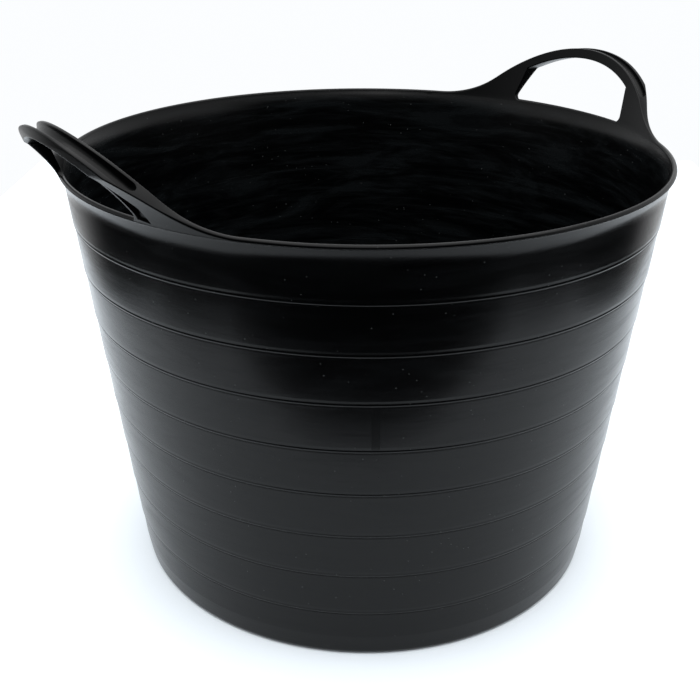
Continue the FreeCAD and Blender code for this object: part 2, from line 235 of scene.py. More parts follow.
# Shader maths.


class Socket:
    """A shader value that can be written in Python expressions."""

    def __init__(self, shader, link):
        self.shader = shader
        self.link = link

    def math(self, operation, *values):
        """Math node with this operation on the values."""
        return self.shader.node("ShaderNodeMath", {"operation": operation}, list(values))

    def __add__(self, other):
        return self.math("ADD", self, other)

    __radd__ = __add__

    def __sub__(self, other):
        return self.math("SUBTRACT", self, other)

    def __rsub__(self, other):
        return self.math("SUBTRACT", other, self)

    def __mul__(self, other):
        return self.math("MULTIPLY", self, other)

    __rmul__ = __mul__

    def __truediv__(self, other):
        return self.math("DIVIDE", self, other)

    def root(self):
        """Square root."""
        return self.math("SQRT", self)

    def fraction(self):
        """What is left past the last whole number."""
        return self.math("FRACT", self)

    def above(self, start, end):
        """0 below start, 1 past end, and smooth between."""
        settings = {"interpolation_type": "SMOOTHSTEP"}
        values = {"Value": self, "From Min": start, "From Max": end}
        return self.shader.node("ShaderNodeMapRange", settings, values)

    def within(self, start, end, blur):
        """1 between start and end and 0 elsewhere, blurred inwards at both."""
        return self.above(start, start + blur) * (1.0 - self.above(end - blur, end))


class Shader:
    """Builds the node tree of one material or world."""

    def __init__(self, tree):
        self.tree = tree

    def node(self, kind, settings=None, values=None, out=0):
        """One node: its settings are set first, then its inputs' values or links. Returns an output."""
        made = self.tree.nodes.new(kind)
        for name, value in (settings or {}).items():
            setattr(made, name, value)
        pairs = enumerate(values) if isinstance(values, list) else (values or {}).items()
        for key, value in pairs:
            if isinstance(value, Socket):
                self.tree.links.new(value.link, made.inputs[key])
            else:
                made.inputs[key].default_value = value
        return Socket(self, made.outputs[out]) if len(made.outputs) else None

    def mix(self, factor, first, second):
        """Colour between two colours."""
        return self.node("ShaderNodeMix", {"data_type": "RGBA"}, {0: factor, 6: first, 7: second}, out=2)


def opaque(colour):
    """Colour property as the four values that a node takes."""
    return (*colour, 1.0)


def new_tree(item):
    """Empties an item's node tree and returns a builder for it."""
    item.use_nodes = True
    item.node_tree.nodes.clear()
    return Shader(item.node_tree)


# The plastic. The side that faces the camera is turned by FRONT_TURN about the upright axis.

FRONT_TURN = math.radians(-37.3)
STRIP_LEFT = 4.0 * MM
STRIP_RIGHT = 10.5 * MM
STRIP_LOW = BAND_FOOT - 103.0 * MM
STRIP_HIGH = BAND_FOOT - 70.5 * MM
STRIP_BLUR = 1.0 * MM
STRIP_DISTANCE = 190.0 * MM
STRIP_SHADE = 0.45
SATIN_LOW = RIM_HEIGHT - 8.0 * MM
SATIN_HIGH = RIM_HEIGHT + 3.0 * MM
SATIN_SHADE = 0.72
LINE_SHADE = 0.62
LINE_FOOT = 30.0 * MM
MARKS_SHADE = 0.14
GLOSSY_IOR = 1.27
SATIN_IOR = 1.16
SATIN_ROUGHNESS = 0.33
RELIEF_STRENGTH = 0.55
RELIEF_HEIGHT = 1.6 * MM


def noise(shader, place, scale, detail, stretch=(1.0, 1.0, 1.0), distortion=0.0, roughness=0.5):
    """Noise on the object's coordinates, which are stretched first."""
    where = shader.node("ShaderNodeMapping", {}, {"Vector": place, "Scale": stretch})
    values = {
        "Vector": where, "Scale": scale, "Detail": detail,
        "Roughness": roughness, "Distortion": distortion,
    }
    return shader.node("ShaderNodeTexNoise", {}, values)


def flow_marks(shader, place):
    """Marbled marks that the molten plastic leaves: level swirls, with finer streaks over them."""
    swirls = noise(shader, place, 9.0, 7.0, stretch=(1.0, 1.0, 5.0), distortion=1.3, roughness=0.66)
    streaks = noise(shader, place, 14.0, 6.0, stretch=(1.0, 1.0, 11.0), distortion=0.7, roughness=0.65)
    return 0.6 * swirls.above(0.42, 0.72) + 0.4 * streaks.above(0.46, 0.72)


def dust_specks(shader, place):
    """Small round specks round the middles of some of a fine pattern's cells."""
    values = {"Vector": place, "Scale": 170.0, "Randomness": 1.0}
    cells = shader.node("ShaderNodeTexVoronoi", {"feature": "F1"}, values)
    chosen = noise(shader, place, 31.0, 1.0).above(0.44, 0.5)
    return (1.0 - cells.above(0.035, 0.075)) * chosen


def inside_mask(x, y, z):
    """1 on the inner face of wall and floor, 0 outside: which side of the wall's middle a point is on."""
    slope = (WALL_TOP_RADIUS - HEEL_TOP_RADIUS) / (BAND_FOOT - HEEL_HEIGHT)
    half_wall = (z - HEEL_HEIGHT) * slope + HEEL_TOP_RADIUS - sizes().wall_thickness / 2.0
    radius = (x * x + y * y).root()
    return (half_wall - radius).above(0.0, 0.8 * MM) * z.above(4.0 * MM, 5.0 * MM)


def witness_strip(x, y, z):
    """Dull upright strip between two step lines on the front, where the mould's insert was."""
    across = x * math.cos(FRONT_TURN) + y * math.sin(FRONT_TURN)
    ahead = x * math.sin(FRONT_TURN) - y * math.cos(FRONT_TURN)
    strip = across.within(STRIP_LEFT, STRIP_RIGHT, STRIP_BLUR)
    strip = strip * ahead.above(STRIP_DISTANCE, STRIP_DISTANCE + STRIP_BLUR)
    return strip * z.within(STRIP_LOW, STRIP_HIGH, STRIP_BLUR)


def line_shade(z):
    """Painted shade: a dark line in the corner under each step line, up to the one at the band's foot."""
    pitch = sizes().step_pitch
    below = ((BAND_FOOT + 1.0 * MM - z) / pitch).fraction() * pitch
    line = below.above(0.5 * MM, 1.0 * MM) * (1.0 - below.above(1.9 * MM, 2.9 * MM))
    line = line * (1.0 - z.above(BAND_FOOT + 0.6 * MM, BAND_FOOT + 0.8 * MM))
    return line * z.above(LINE_FOOT, LINE_FOOT + 2.0 * MM)


def tub_plastic():
    """Black polyethylene: glossy, satin at the rim, with flow marks, a little waviness and dust, painted
    shade under the step lines, and painted light on the inner face.
    """
    made = bpy.data.materials.get("tub_plastic_skin")
    if made:
        return made
    made = bpy.data.materials.new("tub_plastic_skin")
    look = plastic()
    shader = new_tree(made)
    place = shader.node("ShaderNodeTexCoord", out="Object")
    parts = shader.node("ShaderNodeSeparateXYZ", {}, [place])
    x, y, z = (Socket(shader, link) for link in parts.link.node.outputs)
    inside = inside_mask(x, y, z)
    marks = flow_marks(shader, place)
    specks = dust_specks(shader, place)
    grain = noise(shader, place, 900.0, 2.0)

    # The flow marks are real, but on the inner face their colour is laid on 2.5 times as strongly: painted
    # light that makes the inside lighter.
    colour = shader.mix(marks * (0.6 + 1.5 * inside), opaque(look.deep), opaque(look.flow))
    colour = shader.mix(specks * 0.5, colour, opaque(look.dust))
    roughness = look.gloss + 0.04 * inside + 0.07 * marks + 0.05 * (grain - 0.5) + 0.35 * specks
    waves = noise(shader, place, 7.0, 2.0, stretch=(1.0, 1.0, 0.8))
    relief = waves + 0.025 * marks + 0.003 * grain
    values = {"Strength": RELIEF_STRENGTH, "Distance": RELIEF_HEIGHT, "Height": relief}
    bump = shader.node("ShaderNodeBump", {}, values)
    values = {"Base Color": colour, "Roughness": roughness, "IOR": GLOSSY_IOR, "Normal": bump}
    glossy = shader.node("ShaderNodeBsdfPrincipled", {}, values)
    values = {"Base Color": opaque(look.deep), "Roughness": SATIN_ROUGHNESS, "IOR": SATIN_IOR}
    satin = shader.node("ShaderNodeBsdfPrincipled", {}, values)

    at_rim = z.above(SATIN_LOW, SATIN_HIGH)
    # Painted shade in the corners under the step lines, added to a real duller finish on the flow marks
    # outside.
    painted_shade_and_mark_dulling = (1.0 - inside) * (line_shade(z) * LINE_SHADE + marks * MARKS_SHADE)
    share = witness_strip(x, y, z) * STRIP_SHADE + at_rim * SATIN_SHADE + painted_shade_and_mark_dulling
    surface = shader.node("ShaderNodeMixShader", {}, [share, glossy, satin])
    shader.node("ShaderNodeOutputMaterial", {}, {"Surface": surface})
    return made


# Meshes.

MERGE_DISTANCE = 0.002 * MM
SHARP_ANGLE = math.radians(50.0)


def piece_from_grid(name, points, faces):
    """Object from points and faces: doubles merged, faces turned outwards, smooth up to the sharp angle."""
    mesh = bpy.data.meshes.new(name)
    mesh.from_pydata(points.tolist(), [], faces)
    shape = bmesh.new()
    shape.from_mesh(mesh)
    bmesh.ops.remove_doubles(shape, verts=shape.verts, dist=MERGE_DISTANCE)
    bmesh.ops.dissolve_degenerate(shape, edges=shape.edges, dist=MERGE_DISTANCE)
    bmesh.ops.recalc_face_normals(shape, faces=shape.faces)
    shape.to_mesh(mesh)
    shape.free()
    mesh.shade_smooth()
    mesh.set_sharp_from_angle(angle=SHARP_ANGLE)
    made = bpy.data.objects.new(name, mesh)
    bpy.context.scene.collection.objects.link(made)
    made.data.materials.append(tub_plastic())
    return made


def grid_faces(first, columns, rows, keep=None):
    """Quads of a grid whose point (i, j) is number first + i * rows + j. keep masks its cells."""
    i, j = np.meshgrid(np.arange(columns - 1), np.arange(rows - 1), indexing="ij")
    if keep is not None:
        i, j = i[keep], j[keep]
    corner = first + i.ravel() * rows + j.ravel()
    return np.stack([corner, corner + rows, corner + rows + 1, corner + 1], axis=1)


def turned(name, profile, columns):
    """Ring or disc: each point (r, z) of a closed profile turned about Z, at (r cos a, r sin a, z)."""
    profile = np.asarray(profile)
    count = len(profile)
    angle = np.linspace(0.0, 2.0 * np.pi, columns, endpoint=False)
    r, z = profile[:, 0], profile[:, 1]
    points = np.stack(
        [np.outer(np.cos(angle), r), np.outer(np.sin(angle), r), np.tile(z, (columns, 1))], axis=2
    ).reshape(-1, 3)
    i, j = np.meshgrid(np.arange(columns), np.arange(count), indexing="ij")
    i_next, j_next = (i + 1) % columns, (j + 1) % count
    faces = np.stack(
        [i * count + j, i_next * count + j, i_next * count + j_next, i * count + j_next], axis=2
    ).reshape(-1, 4)
    return piece_from_grid(name, points, faces.tolist())


# The wall. SUPPORT is how far from a hard edge the next row of points lies.

STEPS_BELOW_BAND = 7
SUPPORT = 0.12 * MM
STEP_POINTS = 8
STEP_EASE = 0.22 * MM
STEP_DIP = 0.14 * MM
STEP_EASE_HEIGHT = 3.4 * MM
STEP_EASE_ROWS = 14
DIP_HEIGHT = 0.9 * MM
BAND_ROWS = 4
INNER_HOLLOW = -0.07 * MM


def band_slope():
    """Rise in radius for each metre of height within a band."""
    climb = WALL_TOP_RADIUS - HEEL_TOP_RADIUS - STEPS_BELOW_BAND * sizes().step_depth
    return climb / (BAND_FOOT - HEEL_HEIGHT)


def wall_radius(height, steps):
    """Outer radius of the plain band above so many step lines, at a height."""
    return HEEL_TOP_RADIUS + band_slope() * (height - HEEL_HEIGHT) + steps * sizes().step_depth


def step_profile(line, steps):
    """Outer (r, z) points at a step line, upwards: the ledge below, a quarter ellipse, then a faint dip."""
    size = sizes()
    t = np.radians(np.linspace(0.0, 90.0, STEP_POINTS))
    height = line + size.step_round * (1.0 - np.cos(t))
    above = np.linspace(0.0, STEP_EASE_HEIGHT, STEP_EASE_ROWS + 1)[1:]
    dip = smooth(above, 0.0, DIP_HEIGHT) * (1.0 - smooth(above, DIP_HEIGHT, STEP_EASE_HEIGHT))
    reach = np.append((size.step_depth - STEP_EASE) * (1.0 - np.sin(t)), STEP_DIP * dip)
    height = np.append(height, height[-1] + above)
    ellipse = np.stack([wall_radius(height, steps) - reach, height], axis=1)
    corner = wall_radius(line, steps - 1)
    below = [[wall_radius(line - SUPPORT, steps - 1), line - SUPPORT], [corner, line]]
    return np.vstack([below, ellipse[1:]])


def outer_wall():
    """Outer (r, z) points of the stepped wall from the heel up to the band, with all its step lines."""
    size = sizes()
    parts = [np.array([[HEEL_TOP_RADIUS, HEEL_HEIGHT]])]
    for steps in range(1, STEPS_BELOW_BAND + 1):
        line = BAND_FOOT - (STEPS_BELOW_BAND + 1 - steps) * size.step_pitch
        middle = np.linspace(parts[-1][-1, 1], line - SUPPORT, BAND_ROWS + 1)[1:-1]
        parts += [np.stack([wall_radius(middle, steps - 1), middle], axis=1), step_profile(line, steps)]
    middle = np.linspace(parts[-1][-1, 1], BAND_FOOT, BAND_ROWS + 1)[1:]
    parts.append(np.stack([wall_radius(middle, STEPS_BELOW_BAND), middle], axis=1))
    return np.vstack(parts)


def inner_wall(height):
    """Inner radius of the wall: one cone from the heel up, with a faint hollow just above each step line."""
    size = sizes()
    low = HEEL_TOP_RADIUS - size.wall_thickness
    high = WALL_TOP_RADIUS - size.wall_thickness
    cone = low + (high - low) * (height - HEEL_HEIGHT) / (BAND_FOOT - HEEL_HEIGHT)
    past = np.mod(height - BAND_FOOT, size.step_pitch) / size.step_round
    return cone + INNER_HOLLOW * np.where(past < 1.0, np.sin(np.pi * np.minimum(past, 1.0)) ** 2, 0.0)


class TUB_OT_wall(bpy.types.Operator):
    """Builds the stepped wall below the top band: one profile turned about the upright axis"""

    bl_idname = "tub.wall"
    bl_label = "Stepped wall"

    def execute(self, context):
        size = sizes()
        outside = outer_wall()
        heights = outside[::-1, 1]
        inside = np.stack([inner_wall(heights), heights], axis=1)
        wall = turned("stepped_wall_skin", np.vstack([outside, inside]), size.ring_columns)
        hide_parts("stepped_wall")
        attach(wall, "tub")
        return {"FINISHED"}


# The base.

GATE_RADIUS = 4.0 * MM
GATE_HEIGHT = 0.7 * MM
DISH_RADIUS = 15.0 * MM
DISH_DEPTH = 0.6 * MM
RING_WIDTH = 2.4 * MM
RING_HEIGHT = 0.5 * MM
RING_RADII = (70.0 * MM, 110.0 * MM, 145.0 * MM)


def base_outline():
    """Closed (r, z) outline of floor and heel: underside with gate mark and rings, rounded corner, inside."""
    size = sizes()
    base_radius = wall_radius(0.0, 0)
    wall_tilt = math.degrees(math.atan(band_slope()))
    reach = size.heel_round * math.tan(math.radians(45.0 + wall_tilt / 2.0))
    low = FLOOR_LOW
    points = [
        [0.0, low - GATE_HEIGHT],
        [GATE_RADIUS - SUPPORT, low - GATE_HEIGHT],
        [GATE_RADIUS, low - GATE_HEIGHT + SUPPORT],
        [GATE_RADIUS + SUPPORT, low + DISH_DEPTH - SUPPORT],
        [GATE_RADIUS + 3 * SUPPORT, low + DISH_DEPTH],
        [DISH_RADIUS, low + DISH_DEPTH],
        [DISH_RADIUS + SUPPORT, low + DISH_DEPTH - SUPPORT],
        [DISH_RADIUS + 2 * SUPPORT, low + SUPPORT],
        [DISH_RADIUS + 4 * SUPPORT, low],
    ]
    for radius in RING_RADII:
        half = RING_WIDTH / 2.0
        points += [
            [radius - half - SUPPORT, low],
            [radius - half, low - SUPPORT],
            [radius - half / 2.0, low - RING_HEIGHT],
            [radius + half / 2.0, low - RING_HEIGHT],
            [radius + half, low - SUPPORT],
            [radius + half + SUPPORT, low],
        ]
    points += [
        [FLOOR_RADIUS - 1.0 * MM, low],
        [FLOOR_RADIUS, low - SUPPORT],
        [FLOOR_RADIUS + 0.4 * MM, SUPPORT],
        [FLOOR_RADIUS + 1.0 * MM, 0.0],
    ]
    outer_centre = (base_radius - reach, size.heel_round)
    outer = arc(outer_centre, size.heel_round, -90.0, -wall_tilt, 16)
    points += outer.tolist()
    top = [HEEL_TOP_RADIUS, HEEL_HEIGHT]
    points += [top, [top[0] - size.wall_thickness, top[1]]]
    inner_foot = wall_radius(FLOOR_HIGH, 0) - size.wall_thickness
    hollow_reach = size.heel_hollow * math.tan(math.radians(45.0 - wall_tilt / 2.0))
    inner_centre = (inner_foot - hollow_reach, FLOOR_HIGH + size.heel_hollow)
    points += arc(inner_centre, size.heel_hollow, -wall_tilt, -90.0, 12).tolist()
    points += [
        [DISH_RADIUS + 2 * SUPPORT, FLOOR_HIGH],
        [DISH_RADIUS, FLOOR_HIGH + SUPPORT],
        [DISH_RADIUS - 4 * SUPPORT, FLOOR_HIGH + DISH_DEPTH],
        [0.0, FLOOR_HIGH + DISH_DEPTH],
    ]
    return points


class TUB_OT_base(bpy.types.Operator):
    """Builds the floor and the heel ring: one outline turned about the upright axis"""

    bl_idname = "tub.base"
    bl_label = "Floor and heel"

    def execute(self, context):
        base = turned("floor_and_heel", base_outline(), sizes().ring_columns)
        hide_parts("base_floor", "base_heel")
        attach(base, "tub")
        return {"FINISHED"}


# The top band, with bead and handle. Heights here are above the rim, and y runs along the handle.

BEAD_RADIUS = RIM_HEIGHT - DECK_HEIGHT
DECK = -BEAD_RADIUS
DECK_INNER = RIM_RADIUS - 2.0 * BEAD_RADIUS
BAND_PLAIN_ROWS = 3
FLARE_ROWS = 13
INNER_ROWS = 20
FOOT_ROWS = 4
SIDE_ROWS = 26
CORNER_ROWS = 7
FLANGE_SHARE = np.array([0.0, 0.03, *np.linspace(0.1, 0.9, 7), 0.97, 1.0])
HANDLE_END = 130.0 * MM
RADIAL_RUN = 40.0 * MM
SIDE_ROUND = 1.0 * MM
UNDER_ROUND = 0.9 * MM
EDGE_ROUND = 0.9 * MM
EDGE_POINTS = 5
LIP_DROP = 0.7 * MM
OUTER_TOP_DROP = 1.0 * MM
OUTER_UNDER_DROP = 1.0 * MM
UNDER_DROP_FOOT = 14.0 * MM
UNDER_DROP_TOP = 30.0 * MM
DRAWN_IN_RUN = 32.0 * MM
SWELL_PAST_SHOULDER = 4.0 * MM
SWELL_POWER = 1.6
GRIP_SPARE = 1.3 * MM
DRAW_IN = 0.16
DRAW_IN_DEPTH = 8.0 * MM
POCKET_SLOPE = 1.125
POCKET_WIDTH = 17.0 * MM
POCKET_RIB = 3.2 * MM
POCKET_END = 14.0 * MM
POCKET_SKIN = 2.2 * MM
POCKET_NEAR_EDGE = 0.9 * MM
POCKET_FAR_EDGE = 1.2 * MM
POCKET_FOOT_SHARE = 0.06
POCKET_TOP_SHARE = 0.93
POCKET_TOP_END = 0.99

# The bead's lip, as shares of its reach out from the deck and of its drop below the deck.
LIP_POINTS = ((0.35, 0.92), (0.8, 0.72), (1.0, 0.3), (1.0, 0.0))

# The channel's lip, across and down in lips, and the angles of the half ellipse below it.
CHANNEL_LIP = 0.12
CHANNEL_LIP_POINTS = ((-0.9, 0.0), (-0.3, 0.06), (0.06, 0.4), (0.2, 1.0))
CHANNEL_ANGLES = np.radians([12.0, 24.0, 36.0, 48.0, 60.0, 72.0, 82.0])

# Runs of columns along the rim: where each run ends and its number of columns. The first runs end so far
# past the opening's side, the others so far from the handle's middle.
SIDE_RUNS = (
    (-9.5 * MM, 25), (0.0, 20), (1.6 * MM, 4), (3.4 * MM, 9),
    (12.0 * MM, 18), (15.0 * MM, 10), (22.0 * MM, 16),
)
TAIL_RUNS = ((95.0 * MM, 12), (HANDLE_END, 26))
RIM_COLUMNS = 40


def outline():
    """Places of the handle's outline: arch centre height, tail centre, and where the two arcs join."""
    size = sizes()
    span = size.arch_radius + size.tail_radius
    lift = span - HANDLE_RISE
    tail_y = math.sqrt(span * span - lift * lift)
    return HANDLE_RISE - size.arch_radius, tail_y, tail_y * size.arch_radius / span


def top_edge(y):
    """Height of the handle's upper edge at y, and its outward normal: arch, then hollow tail, then rim."""
    size = sizes()
    centre, tail_y, join_y = outline()
    far = np.abs(y)
    on_arch = centre + np.sqrt(np.maximum(size.arch_radius ** 2 - far ** 2, 0.0))
    gap = np.clip(tail_y - far, 0.0, None)
    on_tail = size.tail_radius - np.sqrt(np.maximum(size.tail_radius ** 2 - gap ** 2, 0.0))
    height = np.where(far < join_y, on_arch, on_tail)
    arch_tilt = far / size.arch_radius
    tail_tilt = gap / size.tail_radius
    tilt = np.where(far < join_y, arch_tilt, tail_tilt)
    return height, np.stack([np.sign(y) * tilt, np.sqrt(1.0 - tilt ** 2)], axis=-1)


def handle_width(height):
    """Level width of the handle at a height: it swells from the bead to the grip, then draws in a little."""
    size = sizes()
    swell = np.clip((height - DECK) / (size.shoulder + SWELL_PAST_SHOULDER), 0.0, 1.0) ** SWELL_POWER
    draw_in = DRAW_IN * np.clip(height - HANDLE_RISE + DRAW_IN_DEPTH, 0.0, None)
    return lerp(2.0 * BEAD_RADIUS, size.grip_width + GRIP_SPARE, swell) - draw_in


def inner_radius(height):
    """Radius of the leaning inner face of the handle at a height."""
    return DECK_INNER + math.tan(sizes().handle_lean) * (height - DECK)


def opening_side(height):
    """Half width of the hand opening at a height, without its rounded corners."""
    size = sizes()
    return GRIP_HALF + size.opening_splay * (1.0 - height / size.shoulder)


def corner_place():
    """Centre of the opening's lower corner arc, and the angle at its middle."""
    size = sizes()
    tilt = math.atan(size.opening_splay / size.shoulder)
    y = opening_side(size.opening_corner) - size.opening_corner / math.cos(tilt)
    return y, size.opening_corner, (tilt - math.pi / 2.0) / 2.0


def ribbon(inner, outer, normal, profile):
    """Strip between two rows of points: profile (across 0 to 1, out in metres) set out from each pair."""
    across = profile[..., 0:1]
    out = profile[..., 1:2]
    return inner[:, None] + (outer - inner)[:, None] * across + normal[:, None] * out


def rounded_edge(width, radius):
    """Ribbon profile: a quarter round of that radius at each side and a flat between, over a width."""
    t = np.linspace(0.0, np.pi / 2.0, EDGE_POINTS)
    along = radius[:, None] * (1.0 - np.cos(t))[None]
    out = radius[:, None] * np.sin(t)[None]
    first = np.stack([along / width[:, None], out], axis=-1)
    second = first[:, ::-1] * [-1.0, 1.0] + [1.0, 0.0]
    middle = (first[:, -1:] + second[:, :1]) / 2.0
    return np.concatenate([first, middle, second], axis=1)


def channelled_edge(width, radius, half, depth, centre):
    """Ribbon profile of the upper edge: rounded sides, with a channel of that half width and depth.

    The channel is half an ellipse below a small rounded lip on each side, and is the same on both sides
    of its centre.
    """
    t = np.linspace(0.0, np.pi / 2.0, EDGE_POINTS)
    corner = np.stack([radius[:, None] * (1.0 - np.cos(t)), radius[:, None] * np.sin(t)], axis=-1)
    level = radius[:, None]
    wall = (centre - half)[:, None]
    span = half[:, None]
    lip = CHANNEL_LIP * span
    deep = depth[:, None] - lip
    overhang = CHANNEL_LIP_POINTS[-1][0] * lip
    stops = [(wall + across * lip, level - down * lip) for across, down in CHANNEL_LIP_POINTS]
    stops += [
        (wall + overhang + (span - overhang) * (1.0 - math.cos(a)), level - lip - deep * math.sin(a))
        for a in CHANNEL_ANGLES
    ]
    groove = np.stack([np.stack(np.broadcast_arrays(x, d), axis=-1) for x, d in stops], axis=2)[:, 0]
    first = np.concatenate([corner, groove], axis=1)
    middle = np.stack([centre, radius - depth], axis=-1)[:, None]
    level_shift = np.zeros(len(width))
    far_corner = corner[:, ::-1] * [-1.0, 1.0] + np.stack([width, level_shift], axis=-1)[:, None]
    far_groove = groove[:, ::-1] * [-1.0, 1.0] + np.stack([2.0 * centre, level_shift], axis=-1)[:, None]
    whole = np.concatenate([first, middle, far_groove, far_corner], axis=1)
    whole[..., 0] = whole[..., 0] / width[:, None]
    return whole


def band_profile():
    """(r, z) of the top band's outer face from its foot to the deck: step, plain band, then a t^2 flare."""
    size = sizes()
    foot = BAND_FOOT - RIM_HEIGHT
    steps = STEPS_BELOW_BAND + 1
    step = step_profile(BAND_FOOT, steps)[1:] - [0.0, RIM_HEIGHT]
    flare_foot = -size.flare_height
    plain = np.linspace(foot + size.step_round + STEP_EASE_HEIGHT, flare_foot, BAND_PLAIN_ROWS + 2)[1:-1]
    lip = DECK - LIP_DROP
    flare = np.linspace(flare_foot, lip, FLARE_ROWS)
    t = (flare - flare_foot) / (lip - flare_foot)
    reach = DECK_RADIUS - wall_radius(lip + RIM_HEIGHT, steps)
    flare_r = wall_radius(flare + RIM_HEIGHT, steps) + reach * t ** 2
    plain_r = wall_radius(plain + RIM_HEIGHT, steps)
    return np.vstack([step, np.stack([plain_r, plain], axis=1), np.stack([flare_r, flare], axis=1)])


def smooth_flare(height):
    """0 below the flare, then t^2 up to 1 at the deck."""
    foot = -sizes().flare_height
    return np.clip((height - foot) / (DECK - foot), 0.0, 1.0) ** 2


def outer_band_profile():
    """(r, z) of the top band's outside from its foot to the edge of the deck, with the bead's lip."""
    reach = RIM_RADIUS - DECK_RADIUS
    lip = [[DECK_RADIUS + out * reach, DECK - down * LIP_DROP] for out, down in LIP_POINTS]
    return np.vstack([band_profile(), lip])


def inner_band_profile():
    """(r, z) of the top band's inside: the wall's cone, turned outwards to the deck's inner edge by t^2."""
    rise = np.linspace(BAND_FOOT - RIM_HEIGHT, DECK, INNER_ROWS)
    reach = DECK_INNER - inner_wall(DECK + RIM_HEIGHT)
    return np.stack([inner_wall(rise + RIM_HEIGHT) + reach * smooth_flare(rise), rise], axis=1)


def rim_columns(edge):
    """Column places along half of a half ring: y at the rim, finer near the opening's side at edge.

    They are even in y within each run, and even in angle from the handle's end to the ring's end.
    """
    stops = [0.0] + [edge + past for past, _ in SIDE_RUNS] + [place for place, _ in TAIL_RUNS]
    counts = [count for _, count in SIDE_RUNS + TAIL_RUNS]
    runs = zip(stops[:-1], stops[1:], counts)
    y = np.concatenate([np.linspace(start, end, count, endpoint=False) for start, end, count in runs])
    start = math.degrees(math.asin(HANDLE_END / RIM_RADIUS))
    angles = np.radians(np.append(np.linspace(start, 89.0, RIM_COLUMNS), [89.9, 90.0]))
    return np.concatenate([y, RIM_RADIUS * np.sin(angles)])


def side_path():
    """Rows up the opening's side from the middle of its corner: (y, z) on the skin, and normals.

    The side is a line from an arc's end to the shoulder, and its last normal is a mitre with the grip's
    underside. The skin stands off it by SIDE_ROUND, and the normals point into the opening.
    """
    size = sizes()
    corner_y, corner_z, middle = corner_place()
    tilt = math.atan(size.opening_splay / size.shoulder)
    turn = np.linspace(middle, tilt, CORNER_ROWS)
    facing = np.stack([np.cos(turn), np.sin(turn)], axis=1)
    round_part = np.array([corner_y, corner_z]) + size.opening_corner * facing
    z = np.concatenate([
        np.linspace(round_part[-1, 1], size.shoulder - 1.0 * MM, SIDE_ROWS - CORNER_ROWS),
        [size.shoulder - 0.4 * MM, size.shoulder],
    ])[1:]
    straight = np.stack([opening_side(z), z], axis=1)
    edge = np.vstack([round_part, straight])
    normal = -np.vstack([facing, np.tile(facing[-1], (len(z), 1))])
    under = -np.array([GRIP_HALF, size.shoulder - HANDLE_RISE + size.arch_radius])
    under = under / np.linalg.norm(under)
    mitre = normal[-1] + under
    normal[-1] = mitre / (1.0 + normal[-1] @ under)
    return edge - SIDE_ROUND * normal, normal


def plan_columns():
    """Columns of a half ring. far is a column's distance from the handle's middle at the rim.

    far_high is the same at the grip, where the opening is narrower, left and right are the columns at the
    opening's sides, and climb and bow say how the rows go up those sides.
    """
    skin, side_normal = side_path()
    near = rim_columns(skin[0, 0])
    middle = len(near) - 1
    last_open = int(np.argmin(np.abs(near - skin[0, 0])))
    places = np.concatenate([-near[:0:-1], near])
    far = np.abs(places)
    edge_low, edge_high = skin[0, 0], skin[-1, 0]
    drawn_in = (edge_low - edge_high) * (1.0 - smooth(far, edge_low, edge_low + DRAWN_IN_RUN))
    climb = (skin[:, 1] - skin[0, 1]) / (skin[-1, 1] - skin[0, 1])
    number = np.arange(len(far))
    return SimpleNamespace(
        far=far,
        far_high=np.where(far <= edge_low, far * edge_high / edge_low, far - drawn_in),
        sign=np.where(places < 0.0, -1.0, 1.0),
        count=len(far),
        middle=middle,
        left=middle - last_open,
        right=middle + last_open,
        is_open=(number >= middle - last_open) & (number <= middle + last_open),
        skin=skin,
        side_normal=side_normal,
        climb=climb,
        bow=skin[:, 0] - lerp(edge_low, edge_high, climb),
    )


def plan_upper_edge(plan):
    """Adds the upper edge: its rounding, and the row where the faces end below that rounding."""
    size = sizes()
    height, plan.top_normal = top_edge(plan.far_high)
    bead_width = 2.0 * BEAD_RADIUS
    plan.fullness = (handle_width(height) - bead_width) / (size.grip_width - bead_width)
    plan.top_round = lerp(BEAD_RADIUS, EDGE_ROUND, smooth(plan.fullness, 0.0, 0.45))
    plan.top = np.stack([plan.far_high, height], axis=1) - plan.top_round[:, None] * plan.top_normal


def plan_grip_row(plan):
    """Adds the row along the grip's underside, an arc, which goes on down each leg over the pocket."""
    size = sizes()
    radius = size.arch_radius - size.grip_depth
    y = np.minimum(plan.far_high, GRIP_HALF)
    plan.under_normal = -np.stack([y, np.sqrt(radius ** 2 - y ** 2)], axis=1) / radius
    centre = np.array([0.0, HANDLE_RISE - size.arch_radius])
    under = centre - plan.under_normal * (radius + UNDER_ROUND)
    past = plan.far_high - plan.skin[-1, 0]
    leg_line = plan.skin[-1, 1] - POCKET_SLOPE * np.minimum(past, POCKET_WIDTH)
    share = (leg_line - DECK) / (plan.top[:, 1] - DECK + 1e-9)
    at_end = np.argmin(np.abs(past[plan.middle:] - POCKET_WIDTH)) + plan.middle
    beyond = DECK + share[at_end] * (plan.top[:, 1] - DECK)
    leg_line = np.where(past < POCKET_WIDTH, leg_line, beyond)
    plan.grip_row = np.where(plan.is_open[:, None], under, np.stack([plan.far_high, leg_line], axis=1))
    plan.grip_row[plan.left] = plan.grip_row[plan.right] = plan.skin[-1]


